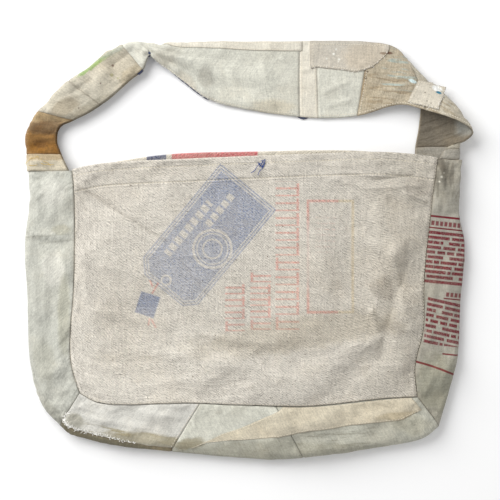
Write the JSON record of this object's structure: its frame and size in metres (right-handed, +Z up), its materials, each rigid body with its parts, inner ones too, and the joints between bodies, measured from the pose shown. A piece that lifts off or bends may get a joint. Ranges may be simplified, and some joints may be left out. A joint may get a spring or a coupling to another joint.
{
  "type": "mail sack",
  "caption": "Flat-lying cloth carrier bag with two panels joined by a folded gusset band, an open hemmed mouth and a wide lined shoulder strap pieced from worn sacking.",
  "frame": {"origin": "middle of the back panel's outer face, on the floor, with the empty bag lying on its back", "axes": "+X to the right of the front panel, +Y towards the mouth and strap, +Z up out of the front panel"},
  "size_m": [0.5699, 0.5349, 0.0295],
  "materials": {
    "sacking": "coarse plain-woven cotton sacking, dry and fibrous",
    "printed_sacking": "coarse cotton sacking with a faded print",
    "pale_cotton": "plain-woven cotton, washed soft, matt",
    "grey_cotton": "plain-woven cotton, washed soft, slightly soiled",
    "cream_cotton": "plain-woven unbleached cotton",
    "beige_cotton": "plain-woven cotton, soiled",
    "stained_cotton": "plain-woven cotton with a heavy brown stain",
    "tan_cotton": "plain-woven cotton, tan with age",
    "brown_lining": "printed cotton lining, faded brown",
    "navy_lining": "printed cotton lining, faded navy",
    "pale_thread": "twisted cotton sewing thread",
    "blue_thread": "twisted cotton thread, dyed blue",
    "yellow_thread": "loose cotton thread, yellowed"
  },
  "bodies": {
    "back_side": {"back_panel": "printed_sacking", "back_hem_thread": "pale_thread", "back_left_seam_thread": "pale_thread", "back_bottom_seam_thread": "pale_thread", "back_right_seam_thread": "pale_thread"},
    "gusset_band": {"left_gusset": "pale_cotton", "right_gusset": "grey_cotton", "bottom_gusset_left": "pale_cotton", "bottom_gusset_under": "tan_cotton", "bottom_gusset_middle": "pale_cotton", "bottom_gusset_right": "grey_cotton", "bottom_patch": "cream_cotton", "strap_left_anchor": "beige_cotton", "lining_left_anchor": "beige_cotton", "strap_right_anchor": "grey_cotton", "lining_right_anchor": "grey_cotton", "yellow_thread_end": "yellow_thread"},
    "front_side": {"front_panel": "sacking", "front_hem_thread": "pale_thread", "front_left_seam_thread": "pale_thread", "front_bottom_seam_thread": "pale_thread", "front_right_seam_thread": "pale_thread", "blue_thread_knot": "blue_thread"},
    "strap": {"strap_stained_piece": "stained_cotton", "strap_lower_left_piece": "beige_cotton", "strap_upper_left_piece": "beige_cotton", "strap_middle_piece": "pale_cotton", "strap_join_band": "cream_cotton", "strap_white_piece": "pale_cotton", "strap_tan_piece": "tan_cotton", "strap_curve_piece": "tan_cotton", "strap_return_piece": "tan_cotton", "lining_left": "navy_lining", "lining_middle": "navy_lining", "lining_right": "brown_lining", "strap_binding": "cream_cotton", "strap_top_patch": "beige_cotton", "strap_tab_patch": "beige_cotton"}
  },
  "joints": [
    {"name": "gusset_unfold", "type": "hinge", "parent": "back_side", "child": "gusset_band", "pos_m": [0, -0.215, 0.009], "axis": [1, 0, 0], "range_deg": [0, 5]},
    {"name": "mouth_open", "type": "hinge", "parent": "gusset_band", "child": "front_side", "pos_m": [0, -0.215, 0.009], "axis": [1, 0, 0], "range_deg": [0, 5]},
    {"name": "strap_swing", "type": "hinge", "parent": "gusset_band", "child": "strap", "pos_m": [-0.0108, 0.16605, 0.028], "axis": [0.9998, 0.0202, 0], "range_deg": [0, 145]}
  ],
  "couplings": [
    {"joint": "mouth_open", "follows": "gusset_unfold", "ratio": 1}
  ]
}
